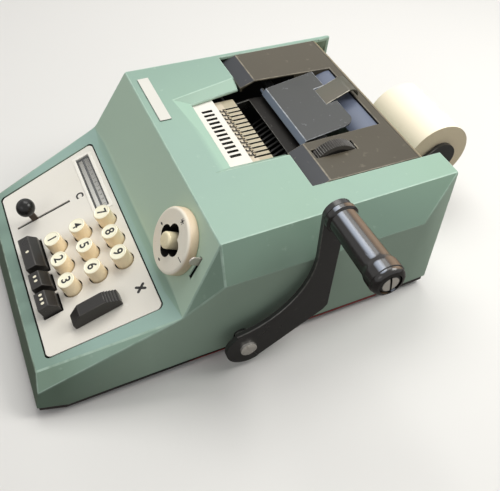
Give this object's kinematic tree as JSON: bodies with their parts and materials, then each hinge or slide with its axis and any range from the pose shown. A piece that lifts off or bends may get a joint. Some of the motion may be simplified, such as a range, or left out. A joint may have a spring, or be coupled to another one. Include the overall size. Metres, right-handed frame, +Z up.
{
  "type": "adding machine",
  "caption": "Hand-cranked desktop printing adding machine with digit keys, zero bars, selector lever, platen, tear-off paper guide and a paper roll on a rear bracket",
  "frame": {"origin": "middle of the overall box in plan, on the table under the rubber feet", "axes": "X to the operator's right towards the crank, Y to the rear, Z up"},
  "size_m": [0.2694, 0.3625, 0.1339],
  "materials": {
    "housing_plastic": "satin, mint green moulding",
    "ivory_plastic": "satin, ivory",
    "key_plastic": "glossy, cream",
    "black_plastic": "glossy, black",
    "cover_paint": "satin, dark grey",
    "black_paint": "satin, black",
    "red_paint": "satin, red",
    "steel": "bright",
    "dark_steel": "blued",
    "chrome": "polished",
    "brass": "plain",
    "rubber": "matt, black",
    "clear_plastic": "clear",
    "paper": "uncoated"
  },
  "bodies": {
    "housing": {"upper_cover": "housing_plastic", "base_pan": "red_paint", "rubber_feet": "rubber", "cover_screws": "steel", "side_frame_left": "steel", "side_frame_right": "steel", "frame_rods": "steel", "key_panel": "ivory_plastic", "key_guide": "black_plastic", "window_bezel": "ivory_plastic", "entry_window": "clear_plastic", "column_scale": "black_paint", "carriage_rails": "steel", "selector_ring": "ivory_plastic", "selector_bracket": "steel", "shaft_bushes": "brass", "window_plate": "ivory_plastic", "type_comb": "ivory_plastic", "line_shield": "black_paint", "label_plate": "ivory_plastic", "printer_cover": "cover_paint", "paper_chute": "steel", "roll_bracket": "black_paint"},
    "key_1": {"key_1": "key_plastic"},
    "key_2": {"key_2": "key_plastic"},
    "key_3": {"key_3": "key_plastic"},
    "key_4": {"key_4": "key_plastic"},
    "key_5": {"key_5": "key_plastic"},
    "key_6": {"key_6": "key_plastic"},
    "key_7": {"key_7": "key_plastic"},
    "key_8": {"key_8": "key_plastic"},
    "key_9": {"key_9": "key_plastic"},
    "key_0": {"key_0": "black_plastic"},
    "key_00": {"key_00": "black_plastic"},
    "key_000": {"key_000": "black_plastic"},
    "repeat_bar": {"repeat_bar": "black_plastic"},
    "clear_lever": {"clear_stem": "dark_steel", "clear_ball": "black_plastic"},
    "gimbal": {"selector_gimbal": "brass"},
    "selector_lever": {"selector_stick": "steel", "selector_knob": "key_plastic"},
    "release_tab": {"release_tab": "steel"},
    "crank": {"crank_arm": "black_paint", "hub_screw": "chrome", "crank_shaft": "steel", "drive_gear": "brass", "handle_screw": "chrome"},
    "handle": {"crank_handle": "black_plastic"},
    "type_gang": {"rack_gear": "brass", "rack_shaft": "steel", "type_sectors": "steel"},
    "platen": {"platen": "rubber", "platen_shaft": "steel", "platen_wheel": "black_plastic"},
    "guide": {"paper_guide": "dark_steel", "guide_tab": "dark_steel"},
    "roll": {"roll_core": "black_plastic", "paper_roll": "paper"},
    "carriage": {"pin_carriage": "brass"}
  },
  "joints": [
    {"name": "press_1", "type": "slide", "parent": "housing", "child": "key_1", "axis": [0, 0.3135, -0.9496], "range_m": [0, 0.004], "stiffness_N_per_m": 200, "springref_m": -0.003},
    {"name": "press_2", "type": "slide", "parent": "housing", "child": "key_2", "axis": [0, 0.3135, -0.9496], "range_m": [0, 0.004], "stiffness_N_per_m": 200, "springref_m": -0.003},
    {"name": "press_3", "type": "slide", "parent": "housing", "child": "key_3", "axis": [0, 0.3135, -0.9496], "range_m": [0, 0.004], "stiffness_N_per_m": 200, "springref_m": -0.003},
    {"name": "press_4", "type": "slide", "parent": "housing", "child": "key_4", "axis": [0, 0.3135, -0.9496], "range_m": [0, 0.004], "stiffness_N_per_m": 200, "springref_m": -0.003},
    {"name": "press_5", "type": "slide", "parent": "housing", "child": "key_5", "axis": [0, 0.3135, -0.9496], "range_m": [0, 0.004], "stiffness_N_per_m": 200, "springref_m": -0.003},
    {"name": "press_6", "type": "slide", "parent": "housing", "child": "key_6", "axis": [0, 0.3135, -0.9496], "range_m": [0, 0.004], "stiffness_N_per_m": 200, "springref_m": -0.003},
    {"name": "press_7", "type": "slide", "parent": "housing", "child": "key_7", "axis": [0, 0.3135, -0.9496], "range_m": [0, 0.004], "stiffness_N_per_m": 200, "springref_m": -0.003},
    {"name": "press_8", "type": "slide", "parent": "housing", "child": "key_8", "axis": [0, 0.3135, -0.9496], "range_m": [0, 0.004], "stiffness_N_per_m": 200, "springref_m": -0.003},
    {"name": "press_9", "type": "slide", "parent": "housing", "child": "key_9", "axis": [0, 0.3135, -0.9496], "range_m": [0, 0.004], "stiffness_N_per_m": 200, "springref_m": -0.003},
    {"name": "press_0", "type": "slide", "parent": "housing", "child": "key_0", "axis": [0, 0.3135, -0.9496], "range_m": [0, 0.004], "stiffness_N_per_m": 200, "springref_m": -0.003},
    {"name": "press_00", "type": "slide", "parent": "housing", "child": "key_00", "axis": [0, 0.3135, -0.9496], "range_m": [0, 0.004], "stiffness_N_per_m": 200, "springref_m": -0.003},
    {"name": "press_000", "type": "slide", "parent": "housing", "child": "key_000", "axis": [0, 0.3135, -0.9496], "range_m": [0, 0.004], "stiffness_N_per_m": 200, "springref_m": -0.003},
    {"name": "repeat_slide", "type": "slide", "parent": "housing", "child": "repeat_bar", "axis": [0, 0.9496, 0.3135], "range_m": [0, 0.006]},
    {"name": "clear_slide", "type": "slide", "parent": "housing", "child": "clear_lever", "axis": [0, 0.9496, 0.3135], "range_m": [-0.0115, 0.025]},
    {"name": "selector_lean_first", "type": "hinge", "parent": "housing", "child": "gimbal", "pos_m": [0.02995, -0.05736, 0.07577], "axis": [0.7071, 0.3505, 0.6141], "range_deg": [-6.5, 6.5]},
    {"name": "selector_lean_second", "type": "hinge", "parent": "gimbal", "child": "selector_lever", "pos_m": [0.02995, -0.05736, 0.07577], "axis": [-0.7071, 0.3505, 0.6141], "range_deg": [-6.5, 6.5]},
    {"name": "paper_release", "type": "slide", "parent": "housing", "child": "release_tab", "axis": [0, -0.4957, -0.8685], "range_m": [0, 0.0095]},
    {"name": "crank_turn", "type": "hinge", "parent": "housing", "child": "crank", "pos_m": [0.07715, -0.04355, 0.0209], "axis": [1, 0, 0], "range_deg": [0, 75], "stiffness_Nm_per_rad": 0.15, "springref_deg": -45.84},
    {"name": "handle_spin", "type": "hinge", "parent": "crank", "child": "handle", "pos_m": [0.10765, 0.00875, 0.1236], "axis": [1, 0, 0], "continuous": true},
    {"name": "type_swing", "type": "hinge", "parent": "housing", "child": "type_gang", "pos_m": [-0.03035, -0.01698, 0.05147], "axis": [1, 0, 0], "range_deg": [-37.5, 0]},
    {"name": "platen_turn", "type": "hinge", "parent": "housing", "child": "platen", "pos_m": [0.00565, 0.04705, 0.09004], "axis": [1, 0, 0], "continuous": true},
    {"name": "guide_open", "type": "hinge", "parent": "housing", "child": "guide", "pos_m": [-0.04085, 0.03555, 0.0961], "axis": [1, 0, 0], "range_deg": [0, 60]},
    {"name": "roll_turn", "type": "hinge", "parent": "housing", "child": "roll", "pos_m": [-0.03985, 0.15455, 0.048], "axis": [1, 0, 0], "continuous": true},
    {"name": "carriage_step", "type": "slide", "parent": "housing", "child": "carriage", "axis": [-1, 0, 0], "range_m": [0, 0.044]}
  ],
  "couplings": [
    {"joint": "type_swing", "follows": "crank_turn", "ratio": -0.5}
  ]
}
